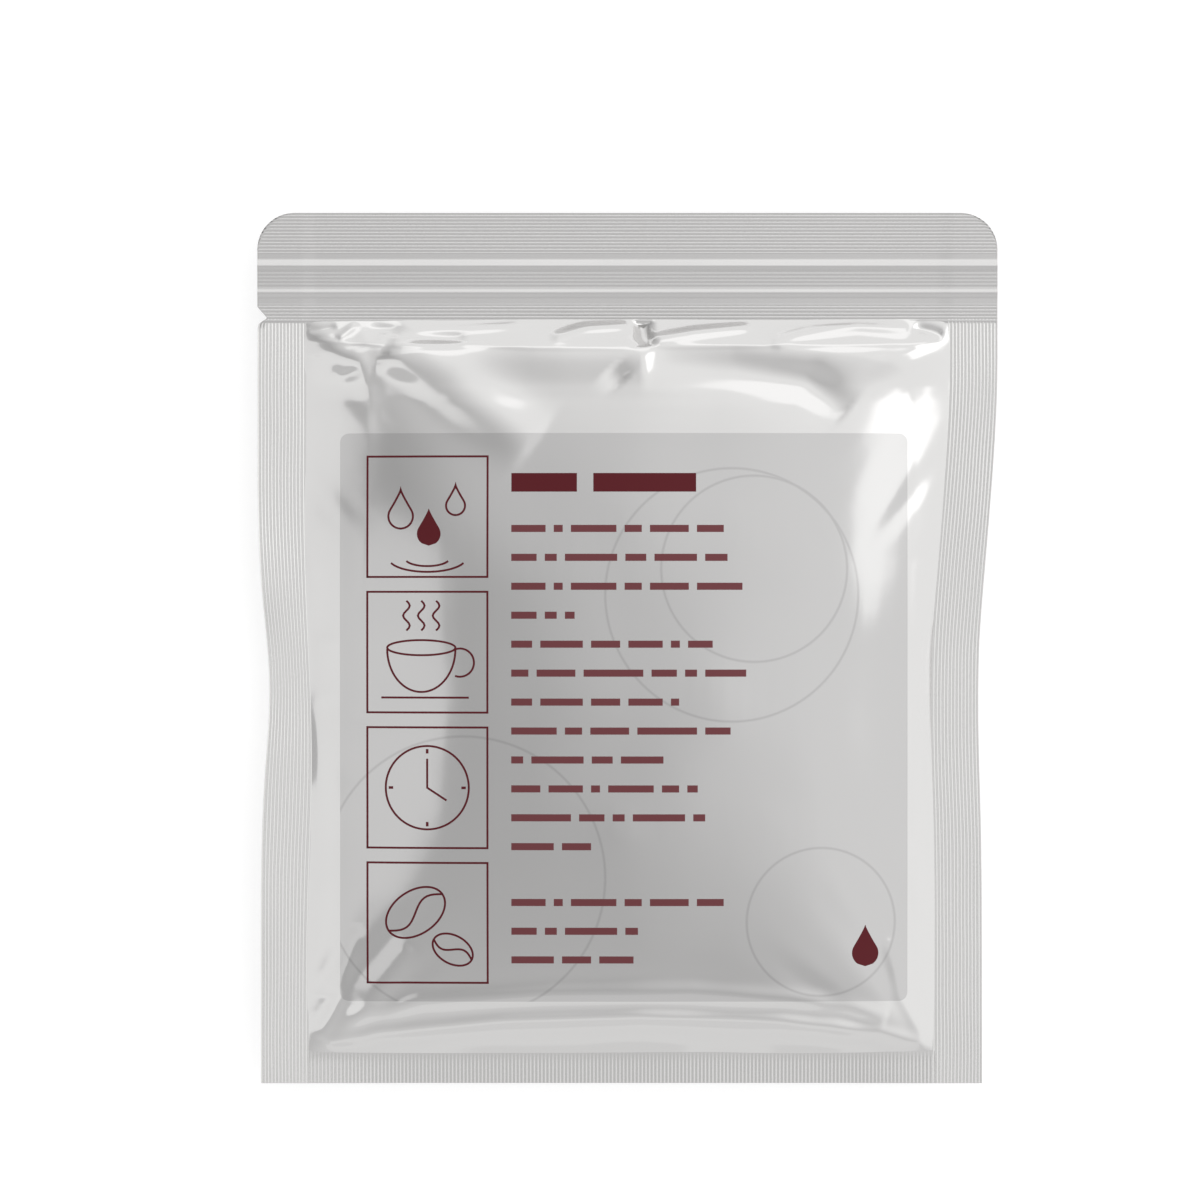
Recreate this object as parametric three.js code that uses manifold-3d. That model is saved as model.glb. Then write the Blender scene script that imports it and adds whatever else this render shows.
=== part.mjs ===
// Drip coffee sachet: a flat pouch of metallised film that holds one hanging drip filter of ground coffee.
// Two films are heat sealed along both sides and the foot, and at the head over a press-to-close strip.
// The seals are crimped in fine ribs, and the gas and the filter inside puff the pouch into a pillow.
// It lies on its plain face, with the printed face up: +Z is up, +Y runs from the foot to the head, +X to the
// printed face's right. The origin is on the resting face, below the middle of the outline. Millimetres.
import * as THREE from "three";
import { mergeGeometries, mergeVertices } from "three/addons/utils/BufferGeometryUtils.js";
import Module from "manifold-3d";

// The outline, with the pouch filled
const POUCH_WIDTH = 100;
const POUCH_HEIGHT = 117.6;
const CORNER_RADIUS = 5;
const CORNER_STEPS = 8;

// The sealed film
const FILM = 0.12; // one film
const RIB_PITCH = 0.46;
const FOOT_RIB_PITCH = 0.92;
const RIB_HEIGHT = 0.08; // crest to trough of the crimp
const SIDE_SEAL = 6.6;
const FOOT_SEAL = 4.4;

// The head, from its top edge down: crimp, strip, bead, grooves, bead, strip, crimp
const TOP_CRIMP = 5.5;
const UPPER_STRIP = 1;
const UPPER_BEAD = 1.1;
const CLOSURE = 2.6;
const LOWER_BEAD = 0.9;
const LOWER_STRIP = 1.2;
const LOWER_CRIMP = 2.3;
const BEAD_RISE = 0.46; // how far each bead stands out of each face
const BEAD_STEPS = 6;
const CLOSURE_RISE = 0.2;
const GROOVE_DEPTH = 0.08;
const GROOVES = 5;

// The tear notch in the left edge, just above the foot of the head
const NOTCH_DEPTH = 1.3;
const NOTCH_UP = 1.5; // from its point to its upper end
const NOTCH_DOWN = 0.9;
const NOTCH_DROP = 14.2; // from the top edge to its point

// How far the filling draws each side in, going down from the head: by the foot and at the waist.
// On the left the edge gives way more than the seam does, so the seal leans there.
const LEFT_EDGE = { foot: 0.5, footFrom: 0.2, footTo: 0.5, waist: 1.1, waistAt: 0.48, waistSpan: 0.13 };
const LEFT_SEAM = { foot: 0.35, footFrom: 0.2, footTo: 0.5, waist: 0.7, waistAt: 0.58, waistSpan: 0.16 };
const RIGHT_EDGE = { foot: 2.1, footFrom: 0.05, footTo: 0.45, waist: 0.5, waistAt: 0.5, waistSpan: 0.15 };

// The pillow
const BELLY = 5.5; // from the resting face to the seals
const CROWN = 8; // from the seals to the top of the printed face
const BELLY_PRESS = 1.5; // how much further the belly would sag if the table did not flatten it
const SIDE_POWER = 2.6; // how full the pillow stays towards its sides
const END_POWER = 2.8; // and towards its ends
const DOME = 0.15; // share of the height that is won on the way from the shoulders to the middle
const SEAT = 0.4; // how far the pillow's thin rim runs into the seals

// Folds below the stiff head. Each end lies at a share of the pillow's half width and a drop below the head.
const FOLDS = [
  { from: { across: -0.97, drop: 3.4 }, to: { across: 0.97, drop: 3.4 }, halfWidth: 1, rise: 0.25 },
  { from: { across: -0.84, drop: 4.2 }, to: { across: -0.36, drop: 16 }, halfWidth: 4.4, rise: 0.7 },
  { from: { across: 0.07, drop: 6 }, to: { across: 0.7, drop: 13.4 }, halfWidth: 3.2, rise: -0.5 },
];
const FOLD_START = 0.2; // fullness of the pillow at which a fold reaches its height

const COLUMNS = 34;
const ROWS = 38;
const SEAL_STEPS = 11;
const SEAM = 0.3; // overlap of two lengths of seal where they run into each other

const HEAD = TOP_CRIMP + UPPER_STRIP + UPPER_BEAD + CLOSURE + LOWER_BEAD + LOWER_STRIP + LOWER_CRIMP;
const HEAD_FOOT = POUCH_HEIGHT - HEAD; // height of the head's lower edge above the pouch's foot
const CUT = 4 * (FILM + BEAD_RISE); // depth of a cutter, well past both faces of the head

const wasm = await Module();
wasm.setup();

// A closed mesh as a solid that can be joined and cut.
function solidOf(geometry) {
  const bare = new THREE.BufferGeometry();
  const loose = geometry.index ? geometry.toNonIndexed() : geometry;
  bare.setAttribute("position", loose.getAttribute("position"));
  const merged = mergeVertices(bare, 1e-4);
  return new wasm.Manifold(
    new wasm.Mesh({
      numProp: 3,
      vertProperties: merged.attributes.position.array,
      triVerts: new Uint32Array(merged.index.array),
    }),
  );
}

function geometryOf(solid) {
  const mesh = solid.getMesh();
  const geometry = new THREE.BufferGeometry();
  geometry.setAttribute("position", new THREE.BufferAttribute(mesh.vertProperties, 3));
  geometry.setIndex(new THREE.BufferAttribute(mesh.triVerts, 1));
  geometry.computeVertexNormals();
  return geometry;
}

const smooth = (from, to, value) => THREE.MathUtils.smoothstep(value, from, to);
const bell = (value, middle, span) => Math.exp(-(((value - middle) / span) ** 2));

// A section through sealed film, drawn from left to right: each point has its place along the section,
// the height of the upper face and the height of the lower face.
class FilmSection {
  constructor() {
    this.points = [];
    this.at = 0;
  }

  put(advance, upper, lower) {
    this.at += advance;
    this.points.push({ at: this.at, upper, lower });
    return this;
  }

  // Plain sealed film: two films face to face.
  plain(width) {
    return this.put(0, FILM, -FILM).put(width, FILM, -FILM);
  }

  // Crimped film: both faces rise and fall together.
  crimp(width, pitch = RIB_PITCH) {
    const ribs = Math.max(1, Math.round(width / pitch));
    const half = width / ribs / 2;
    const lift = RIB_HEIGHT / 2;
    for (let rib = 0; rib < ribs; rib += 1) {
      this.put(rib ? half : half / 2, FILM + lift, lift - FILM);
      this.put(half, FILM - lift, -lift - FILM);
    }
    this.at += half / 2;
    return this;
  }

  // One bead of the press-to-close strip, round on both faces.
  bead(width) {
    const advance = width / BEAD_STEPS;
    for (let step = 1; step < BEAD_STEPS; step += 1) {
      const height = FILM + BEAD_RISE * Math.sin((Math.PI * step) / BEAD_STEPS);
      this.put(advance, height, -height);
    }
    this.at += advance;
    return this;
  }

  // The flanges between the beads, which stand out with fine grooves.
  grooves(width) {
    const half = width / GROOVES / 2;
    const crest = FILM + CLOSURE_RISE;
    const trough = crest - GROOVE_DEPTH;
    for (let groove = 0; groove < GROOVES; groove += 1) {
      this.put(groove ? half : half / 2, crest, -crest);
      this.put(half, trough, -trough);
    }
    this.at += half / 2;
    return this;
  }

  shape() {
    const outline = new THREE.Shape();
    this.points.forEach((point, index) => {
      if (index) outline.lineTo(point.at, point.upper);
      else outline.moveTo(point.at, point.upper);
    });
    for (const point of [...this.points].reverse()) outline.lineTo(point.at, point.lower);
    outline.closePath();
    return outline;
  }
}

// Runs a section along Y, from a height down over a length. The section's own line runs along X.
function runDown(section, from, length, steps) {
  const run = new THREE.ExtrudeGeometry(section.shape(), { depth: length, steps, bevelEnabled: false });
  run.rotateX(Math.PI / 2);
  run.translate(0, from, 0);
  return run;
}

// A plan outline as an upright solid that goes right through the head.
function cutterOf(outline) {
  const settings = { depth: CUT, curveSegments: CORNER_STEPS, bevelEnabled: false };
  const cutter = new THREE.ExtrudeGeometry(outline, settings);
  cutter.translate(0, 0, -CUT / 2);
  return solidOf(cutter);
}

// How far an edge is drawn in at a height above the foot.
function drawnIn(edge, y) {
  const down = THREE.MathUtils.clamp(1 - y / HEAD_FOOT, 0, 1);
  const foot = edge.foot * smooth(edge.footFrom, edge.footTo, down);
  const waist = edge.waist * bell(down, edge.waistAt, edge.waistSpan) * smooth(0, edge.footTo, down);
  return foot + waist;
}

// Where each side seal has its outer edge, and its seam with the pillow, at a height above the foot.
const leftEdge = (y) => -POUCH_WIDTH / 2 + drawnIn(LEFT_EDGE, y);
const leftSeam = (y) => -POUCH_WIDTH / 2 + SIDE_SEAL + drawnIn(LEFT_SEAM, y);
const rightEdge = (y) => POUCH_WIDTH / 2 - drawnIn(RIGHT_EDGE, y);
const rightSeam = (y) => rightEdge(y) - SIDE_SEAL;

// The head: one section from the top edge down, run across the whole width, with its two top corners rounded.
function head() {
  const section = new FilmSection();
  section.plain(0).crimp(TOP_CRIMP).plain(UPPER_STRIP);
  section.bead(UPPER_BEAD).grooves(CLOSURE).bead(LOWER_BEAD);
  section.plain(LOWER_STRIP).crimp(LOWER_CRIMP).plain(0);
  const across = runDown(section, 0, POUCH_WIDTH, 1);
  across.rotateZ(-Math.PI / 2);
  across.translate(POUCH_WIDTH / 2, POUCH_HEIGHT, 0);

  const half = POUCH_WIDTH / 2;
  const corner = CORNER_RADIUS;
  const outline = new THREE.Shape();
  outline.moveTo(-half, HEAD_FOOT - SEAM);
  outline.lineTo(half, HEAD_FOOT - SEAM);
  outline.lineTo(half, POUCH_HEIGHT - corner);
  outline.absarc(half - corner, POUCH_HEIGHT - corner, corner, 0, Math.PI / 2);
  outline.lineTo(corner - half, POUCH_HEIGHT);
  outline.absarc(corner - half, POUCH_HEIGHT - corner, corner, Math.PI / 2, Math.PI);
  outline.closePath();
  return solidOf(across).intersect(cutterOf(outline));
}

// A side seal: ribs that run from the foot up to the head and follow the drawn-in side, each at its own share
// of the way from the seal's left line to its right line.
function sideSeal(leftLine, rightLine) {
  const section = new FilmSection().crimp(SIDE_SEAL);
  const seal = runDown(section, HEAD_FOOT + SEAM, HEAD_FOOT + SEAM, SEAL_STEPS);
  const places = seal.getAttribute("position");
  for (let i = 0; i < places.count; i += 1) {
    const y = places.getY(i);
    places.setX(i, THREE.MathUtils.lerp(leftLine(y), rightLine(y), places.getX(i) / SIDE_SEAL));
  }
  return solidOf(seal);
}

// The foot seal: short upright ribs between the two side seals.
function footSeal() {
  const from = leftSeam(0) - SEAM;
  const to = rightSeam(0) + SEAM;
  const seal = runDown(new FilmSection().crimp(to - from, FOOT_RIB_PITCH), FOOT_SEAL, FOOT_SEAL, 1);
  seal.translate(from, 0, 0);
  return solidOf(seal);
}

// The share of the full height that the pillow has at a place, from -1 to 1 across and from foot to head.
function fullness(across, along) {
  const side = 1 - Math.abs(across) ** SIDE_POWER;
  const end = 1 - Math.abs(along) ** END_POWER;
  const shoulder = Math.sqrt(Math.max(0, side * end));
  return shoulder * (1 - DOME + DOME * shoulder);
}

// A point of the pillow's outline, from -1 to 1 across and from foot to head.
function onOutline(across, along) {
  const y = THREE.MathUtils.lerp(FOOT_SEAL - SEAT, HEAD_FOOT + SEAT, (along + 1) / 2);
  const x = THREE.MathUtils.lerp(leftSeam(y) - SEAT, rightSeam(y) + SEAT, (across + 1) / 2);
  return new THREE.Vector3(x, y, 0);
}

// One end of a fold, which keeps its drop below the head.
function foldEnd({ across, drop }) {
  const y = HEAD_FOOT - drop;
  return new THREE.Vector3(THREE.MathUtils.lerp(leftSeam(y), rightSeam(y), (across + 1) / 2), y, 0);
}

const folds = FOLDS.map(({ from, to, halfWidth, rise }) => {
  const line = new THREE.Line3(foldEnd(from), foldEnd(to));
  return { line, halfWidth, rise };
});

// What the folds add to the printed face at a point of the outline.
function foldRise(point) {
  const nearest = new THREE.Vector3();
  return folds.reduce((sum, { line, halfWidth, rise }) => {
    const away = line.closestPointToPoint(point, true, nearest).distanceTo(point);
    return sum + rise * bell(away, 0, halfWidth);
  }, 0);
}

// One face of the pillow, as a grid that is closer near the seals. heightAt gives a face's height at
// a fullness and a point of the outline.
function pillowFace(heightAt) {
  const face = new THREE.PlaneGeometry(2, 2, COLUMNS, ROWS);
  const places = face.getAttribute("position");
  for (let i = 0; i < places.count; i += 1) {
    const across = Math.sin((places.getX(i) * Math.PI) / 2);
    const along = Math.sin((places.getY(i) * Math.PI) / 2);
    const point = onOutline(across, along);
    places.setXYZ(i, point.x, point.y, heightAt(fullness(across, along), point));
  }
  face.deleteAttribute("normal");
  face.deleteAttribute("uv");
  return face;
}

function pillow() {
  const printed = pillowFace((full, point) => CROWN * full + smooth(0, FOLD_START, full) * foldRise(point));
  const belly = pillowFace((full) => -Math.min(BELLY, BELLY * BELLY_PRESS * full));
  const turned = belly.index.array;
  for (let i = 0; i < turned.length; i += 3) {
    [turned[i + 1], turned[i + 2]] = [turned[i + 2], turned[i + 1]];
  }
  return solidOf(mergeGeometries([printed, belly]));
}

// The tear notch, as the wedge that is cut out of the left edge. Its flanks are drawn on past the edge,
// to twice the notch's depth, where the wedge is twice as tall.
function notch() {
  const point = POUCH_HEIGHT - NOTCH_DROP;
  const edge = -POUCH_WIDTH / 2;
  const wedge = new THREE.Shape();
  wedge.moveTo(edge - NOTCH_DEPTH, point + 2 * NOTCH_UP);
  wedge.lineTo(edge - NOTCH_DEPTH, point - 2 * NOTCH_DOWN);
  wedge.lineTo(edge + NOTCH_DEPTH, point);
  wedge.closePath();
  return cutterOf(wedge);
}

const pouch = [sideSeal(leftEdge, leftSeam), sideSeal(rightSeam, rightEdge), footSeal(), pillow()]
  .reduce((joined, piece) => joined.add(piece), head())
  .subtract(notch());

const film = new THREE.MeshStandardMaterial({ color: 0xd2d1cf, roughness: 0.28, metalness: 0.6 });
film.name = "pearl_film";

const sachet = new THREE.Mesh(geometryOf(pouch), film);
sachet.name = "sachet";
sachet.position.set(0, -POUCH_HEIGHT / 2, BELLY);

const part = new THREE.Group();
part.add(sachet);

export default part;
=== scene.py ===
import math

import bmesh
import bpy
import numpy as np
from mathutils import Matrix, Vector, noise
from mathutils.bvhtree import BVHTree


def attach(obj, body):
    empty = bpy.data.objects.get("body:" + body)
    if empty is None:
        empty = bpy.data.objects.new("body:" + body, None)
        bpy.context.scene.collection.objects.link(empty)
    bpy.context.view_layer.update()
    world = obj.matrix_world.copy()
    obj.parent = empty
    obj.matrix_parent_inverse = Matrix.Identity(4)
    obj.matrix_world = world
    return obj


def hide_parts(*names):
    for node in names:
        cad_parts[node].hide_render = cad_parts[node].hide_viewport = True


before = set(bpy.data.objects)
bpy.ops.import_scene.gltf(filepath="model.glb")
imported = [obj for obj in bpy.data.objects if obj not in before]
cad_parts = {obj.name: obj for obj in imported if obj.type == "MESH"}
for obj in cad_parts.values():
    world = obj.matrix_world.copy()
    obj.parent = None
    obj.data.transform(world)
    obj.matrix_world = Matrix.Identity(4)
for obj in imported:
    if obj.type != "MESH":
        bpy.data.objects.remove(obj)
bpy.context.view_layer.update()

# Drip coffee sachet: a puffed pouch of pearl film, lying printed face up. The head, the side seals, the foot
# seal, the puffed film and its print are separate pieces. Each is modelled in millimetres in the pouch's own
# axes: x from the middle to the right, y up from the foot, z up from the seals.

MM = 0.001
SHARP_TURN = 1.0  # radians between two faces, from which their edge stays sharp

# The outline, as in the CAD model
POUCH_WIDTH, POUCH_HEIGHT, CORNER_RADIUS = 100.0, 117.6, 5.0
HEAD, SIDE_SEAL, FOOT_SEAL = 14.6, 6.6, 4.4
HEAD_FOOT = POUCH_HEIGHT - HEAD
BELLY, CROWN = 5.5, 8.0  # depth of the plain face below the seals, height of the printed face above them
FILM = 0.12  # half the thickness of a seal
SEAT, SEAM = 0.4, 0.3  # how far the puffed film reaches into the seals, and the seals into each other
RIB_PITCH, FOOT_RIB_PITCH = 0.46, 0.5
RIB_HEIGHT, FOOT_RIB_HEIGHT = 0.08, 0.05
NOTCH_DEPTH, NOTCH_UP, NOTCH_DOWN, NOTCH_DROP = 1.3, 1.5, 0.9, 14.2

# The head's bands from the top edge down, and the grooves of its closure
TOP_CRIMP, UPPER_STRIP, UPPER_BEAD, CLOSURE = 5.5, 1.0, 1.1, 2.6
LOWER_BEAD, LOWER_STRIP, LOWER_CRIMP = 0.9, 1.2, 2.3
GROOVE_DEPTH, GROOVES = 0.045, 5

# How the filling draws the sides in: places and spans are shares of the way down from the head
LEFT_EDGE = {
    "foot": 0.5, "foot_from": 0.2, "foot_to": 0.5,
    "waist": 1.1, "waist_at": 0.48, "waist_span": 0.13,
}
LEFT_SEAM = {
    "foot": 0.35, "foot_from": 0.2, "foot_to": 0.5,
    "waist": 0.7, "waist_at": 0.58, "waist_span": 0.16,
}
RIGHT_EDGE = {
    "foot": 2.1, "foot_from": 0.05, "foot_to": 0.45,
    "waist": 0.5, "waist_at": 0.5, "waist_span": 0.15,
}
FOOT_DROOP = 0.4  # how far the foot seal's edge hangs down
LEAN = 0.6  # how far the left seal's edge hangs down where it is narrower by a millimetre


def smooth(start, end, value):
    t = min(1.0, max(0.0, (value - start) / (end - start)))
    return t * t * (3 - 2 * t)


def bell(value, middle, span):
    return math.exp(-((value - middle) / span) ** 2)


def mix(a, b, t):
    return a + (b - a) * t


def drawn_in(edge, y):
    """How far the filling draws a side edge in at a height above the foot."""
    down = min(1.0, max(0.0, 1 - y / HEAD_FOOT))
    foot = edge["foot"] * smooth(edge["foot_from"], edge["foot_to"], down)
    waist = edge["waist"] * bell(down, edge["waist_at"], edge["waist_span"])
    return foot + waist * smooth(0, edge["foot_to"], down)


def left_edge(y):
    return -POUCH_WIDTH / 2 + drawn_in(LEFT_EDGE, y)


def right_edge(y):
    return POUCH_WIDTH / 2 - drawn_in(RIGHT_EDGE, y)


def left_seam(y):
    """Where the left seal meets the puffed film. It is drawn in less than the edge, so the seal leans."""
    return -POUCH_WIDTH / 2 + SIDE_SEAL + drawn_in(LEFT_SEAM, y)


def right_seam(y):
    return right_edge(y) - SIDE_SEAL


def ripple(x, y, scale, seed):
    """Smooth unevenness from -1 to 1."""
    return noise.noise(Vector((x / scale, y / scale, seed)))


# Shells

APART = 0.001  # rims further apart than this are bridged
MERGED = 0.004  # points nearer than this become one


def film_shell(columns, rows, upper, lower, shell=None):
    """Adds a closed shell of two faces of film. upper and lower place a point from its shares u and v."""
    shell = shell or bmesh.new()
    grid = bmesh.ops.create_grid(shell, x_segments=columns, y_segments=rows, size=0.5)["verts"]
    faces = list({face for vert in grid for face in vert.link_faces})
    edges = list({edge for vert in grid for edge in vert.link_edges})
    twin = bmesh.ops.duplicate(shell, geom=grid + edges + faces)["geom"]
    below = [vert for vert in twin if isinstance(vert, bmesh.types.BMVert)]
    turned = [face for face in twin if isinstance(face, bmesh.types.BMFace)]
    bmesh.ops.reverse_faces(shell, faces=turned)
    for vert in grid:
        vert.co = upper(vert.co.x + 0.5, vert.co.y + 0.5)
    for vert in below:
        vert.co = lower(vert.co.x + 0.5, vert.co.y + 0.5)
    both = grid + below
    rim = {edge for vert in both for edge in vert.link_edges if edge.is_boundary}
    if (grid[0].co - below[0].co).length > APART:
        bmesh.ops.bridge_loops(shell, edges=list(rim))
    bmesh.ops.remove_doubles(shell, verts=both, dist=MERGED)
    return shell


def finish_piece(name, shell, material):
    """Turns millimetres in the pouch's axes into metres in the model's, and hands the piece over."""
    for vert in shell.verts:
        vert.co = Vector((vert.co.x, vert.co.y - POUCH_HEIGHT / 2, vert.co.z + BELLY)) * MM
    bmesh.ops.recalc_face_normals(shell, faces=shell.faces[:])
    for face in shell.faces:
        face.smooth = True
    for edge in shell.edges:
        edge.smooth = edge.calc_face_angle(0) < SHARP_TURN
    mesh = bpy.data.meshes.new(name)
    shell.to_mesh(mesh)
    shell.free()
    mesh.materials.append(material)
    piece = bpy.data.objects.new(name, mesh)
    bpy.context.scene.collection.objects.link(piece)
    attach(piece, "root")
    return piece


# Materials

def new_group(name, inputs, outputs):
    """A shader node group, with its input node and its output node."""
    group = bpy.data.node_groups.new(name, "ShaderNodeTree")
    for title, kind, value in inputs:
        socket = group.interface.new_socket(name=title, in_out="INPUT", socket_type=kind)
        if value is not None:
            socket.default_value = value
    for title, kind in outputs:
        group.interface.new_socket(name=title, in_out="OUTPUT", socket_type=kind)
    return group, group.nodes.new("NodeGroupInput"), group.nodes.new("NodeGroupOutput")


def put(tree, kind, **settings):
    """Adds a node. in_0, in_1 and so on set its sockets, other names its properties."""
    node = tree.nodes.new(kind)
    for key, value in settings.items():
        if key.startswith("in_"):
            node.inputs[int(key[3:])].default_value = value
        else:
            setattr(node, key, value)
    return node


def link(tree, pairs):
    for source, target in pairs:
        tree.links.new(source, target)


def make_finish_group():
    """Unevenness of laminated film: a slow drift in gloss and a fine crinkle. Sizes in millimetres."""
    group, inside, outside = new_group(
        "film_finish",
        [("Place", "NodeSocketVector", None), ("Roughness", "NodeSocketFloat", 0.2),
         ("Drift", "NodeSocketFloat", 0.05), ("Crinkle Size", "NodeSocketFloat", 3.0)],
        [("Roughness", "NodeSocketFloat"), ("Crinkle", "NodeSocketFloat")],
    )
    drift = put(group, "ShaderNodeTexNoise")
    drift.inputs["Scale"].default_value = 0.07
    drift.inputs["Detail"].default_value = 3
    per = put(group, "ShaderNodeMath", operation="DIVIDE", in_0=1.0)
    crinkle = put(group, "ShaderNodeTexNoise")
    crinkle.inputs["Detail"].default_value = 2
    crinkle.inputs["Roughness"].default_value = 0.4
    centred = put(group, "ShaderNodeMath", operation="SUBTRACT", in_1=0.5)
    spread = put(group, "ShaderNodeMath", operation="MULTIPLY_ADD")
    link(group, [
        (inside.outputs["Place"], drift.inputs["Vector"]),
        (inside.outputs["Place"], crinkle.inputs["Vector"]),
        (inside.outputs["Crinkle Size"], per.inputs[1]),
        (per.outputs[0], crinkle.inputs["Scale"]),
        (drift.outputs["Fac"], centred.inputs[0]),
        (centred.outputs[0], spread.inputs[0]),
        (inside.outputs["Drift"], spread.inputs[1]),
        (inside.outputs["Roughness"], spread.inputs[2]),
        (spread.outputs[0], outside.inputs["Roughness"]),
        (crinkle.outputs["Fac"], outside.inputs["Crinkle"]),
    ])
    return group


def make_panel_group():
    """A square field of flat tint with rounded corners. Sizes in millimetres."""
    group, inside, outside = new_group(
        "tinted_panel",
        [("Place", "NodeSocketVector", None), ("Middle", "NodeSocketVector", None),
         ("Half Width", "NodeSocketFloat", 10.0), ("Corner", "NodeSocketFloat", 1.0),
         ("Edge", "NodeSocketFloat", 0.06)],
        [("Inside", "NodeSocketFloat")],
    )
    away = put(group, "ShaderNodeVectorMath", operation="SUBTRACT")
    folded = put(group, "ShaderNodeVectorMath", operation="ABSOLUTE")
    axes = put(group, "ShaderNodeSeparateXYZ")
    straight = put(group, "ShaderNodeMath", operation="SUBTRACT")
    link(group, [
        (inside.outputs["Place"], away.inputs[0]),
        (inside.outputs["Middle"], away.inputs[1]),
        (away.outputs[0], folded.inputs[0]),
        (folded.outputs[0], axes.inputs[0]),
        (inside.outputs["Half Width"], straight.inputs[0]),
        (inside.outputs["Corner"], straight.inputs[1]),
    ])
    squares = []
    for axis in "XY":
        past = put(group, "ShaderNodeMath", operation="SUBTRACT")
        outer = put(group, "ShaderNodeMath", operation="MAXIMUM", in_1=0.0)
        square = put(group, "ShaderNodeMath", operation="MULTIPLY")
        link(group, [
            (axes.outputs[axis], past.inputs[0]),
            (straight.outputs[0], past.inputs[1]),
            (past.outputs[0], outer.inputs[0]),
            (outer.outputs[0], square.inputs[0]),
            (outer.outputs[0], square.inputs[1]),
        ])
        squares.append(square)
    total = put(group, "ShaderNodeMath", operation="ADD")
    reach = put(group, "ShaderNodeMath", operation="SQRT")
    beyond = put(group, "ShaderNodeMath", operation="SUBTRACT")
    scaled = put(group, "ShaderNodeMath", operation="DIVIDE")
    inverted = put(group, "ShaderNodeMath", operation="SUBTRACT", in_0=0.5, use_clamp=True)
    link(group, [
        (squares[0].outputs[0], total.inputs[0]),
        (squares[1].outputs[0], total.inputs[1]),
        (total.outputs[0], reach.inputs[0]),
        (reach.outputs[0], beyond.inputs[0]),
        (inside.outputs["Corner"], beyond.inputs[1]),
        (beyond.outputs[0], scaled.inputs[0]),
        (inside.outputs["Edge"], scaled.inputs[1]),
        (scaled.outputs[0], inverted.inputs[1]),
        (inverted.outputs[0], outside.inputs["Inside"]),
    ])
    return group


def make_ring_group():
    """One thin ring of the faint background print. Sizes in millimetres."""
    group, inside, outside = new_group(
        "faint_ring",
        [("Place", "NodeSocketVector", None), ("Middle", "NodeSocketVector", None),
         ("Radius", "NodeSocketFloat", 10.0), ("Line", "NodeSocketFloat", 0.3)],
        [("Line", "NodeSocketFloat")],
    )
    away = put(group, "ShaderNodeVectorMath", operation="SUBTRACT")
    flat = put(group, "ShaderNodeVectorMath", operation="MULTIPLY")
    flat.inputs[1].default_value = (1, 1, 0)
    reach = put(group, "ShaderNodeVectorMath", operation="LENGTH")
    off = put(group, "ShaderNodeMath", operation="SUBTRACT")
    side = put(group, "ShaderNodeMath", operation="ABSOLUTE")
    share = put(group, "ShaderNodeMath", operation="DIVIDE")
    line = put(group, "ShaderNodeMath", operation="SUBTRACT", in_0=1.0, use_clamp=True)
    link(group, [
        (inside.outputs["Place"], away.inputs[0]),
        (inside.outputs["Middle"], away.inputs[1]),
        (away.outputs[0], flat.inputs[0]),
        (flat.outputs[0], reach.inputs[0]),
        (reach.outputs["Value"], off.inputs[0]),
        (inside.outputs["Radius"], off.inputs[1]),
        (off.outputs[0], side.inputs[0]),
        (side.outputs[0], share.inputs[0]),
        (inside.outputs["Line"], share.inputs[1]),
        (share.outputs[0], line.inputs[1]),
        (line.outputs[0], outside.inputs["Line"]),
    ])
    return group


FINISH = make_finish_group()
PANEL = make_panel_group()
RING = make_ring_group()
PANEL_MIDDLE, PANEL_WIDTH, PANEL_CORNER = (-0.5, 49.5), 76.5, 1.2
RINGS = [((14.0, 66.0), 17.0), ((17.0, 69.5), 12.5), ((-22.0, 28.0), 19.0), ((26.0, 22.0), 10.0)]
RING_LINE = 0.28


def placed_group(tree, group, place, **values):
    """Adds a node group to a material, fed with the place on the piece."""
    node = tree.nodes.new("ShaderNodeGroup")
    node.node_tree = group
    for title, value in values.items():
        node.inputs[title.replace("_", " ").title()].default_value = value
    tree.links.new(place, node.inputs["Place"])
    return node


def film_material(name, colour, metallic, roughness, drift, crinkle_size, crinkle_height):
    """Film or ink. Gives the material and the socket with the place in the pouch's axes, in millimetres."""
    material = bpy.data.materials.new(name)
    material.use_nodes = True
    tree = material.node_tree
    shader = tree.nodes["Principled BSDF"]
    shader.inputs["Base Color"].default_value = (*colour, 1)
    shader.inputs["Metallic"].default_value = metallic
    where = put(tree, "ShaderNodeTexCoord")
    place = put(tree, "ShaderNodeMapping")
    place.inputs["Scale"].default_value = (1 / MM, 1 / MM, 1 / MM)
    place.inputs["Location"].default_value = (0, POUCH_HEIGHT / 2, -BELLY)
    finish = placed_group(
        tree, FINISH, place.outputs[0], roughness=roughness, drift=drift, crinkle_size=crinkle_size,
    )
    bump = put(tree, "ShaderNodeBump")
    bump.inputs["Distance"].default_value = crinkle_height * MM
    link(tree, [
        (where.outputs["Object"], place.inputs["Vector"]),
        (finish.outputs["Roughness"], shader.inputs["Roughness"]),
        (finish.outputs["Crinkle"], bump.inputs["Height"]),
        (bump.outputs["Normal"], shader.inputs["Normal"]),
    ])
    return material, place.outputs[0]


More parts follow.
